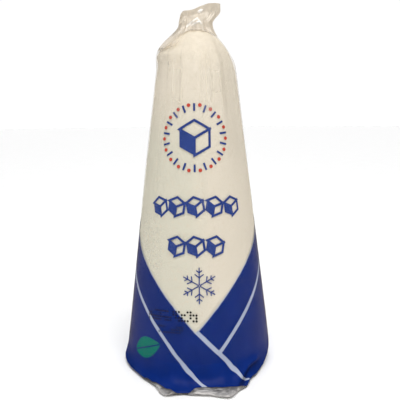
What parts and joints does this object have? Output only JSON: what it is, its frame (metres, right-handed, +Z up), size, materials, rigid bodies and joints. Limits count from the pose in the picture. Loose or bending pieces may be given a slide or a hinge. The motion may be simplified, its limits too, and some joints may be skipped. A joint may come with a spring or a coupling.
{
  "type": "sugar loaf",
  "caption": "Tall slender cone of pressed sugar standing in a tight clear film bag, with a gathered film tuft on top, a printed lower half and a film flap at the front.",
  "frame": {"origin": "centre of the flat contact disc under the foot, on the surface the loaf stands on", "axes": "+Z up along the loaf towards the tuft, -Y towards the front of the print and the film flap, +X to the right seen from the front"},
  "size_m": [0.0656, 0.0743, 0.1548],
  "materials": {
    "film": "clear glossy film, slightly hazy where it is gathered",
    "sugar": "matt white pressed crystal sugar",
    "print": "satin ink printed on the film, deep blue with pale stripes"
  },
  "bodies": {
    "root": {"bagged_sugar_loaf": "film"}
  },
  "joints": []
}
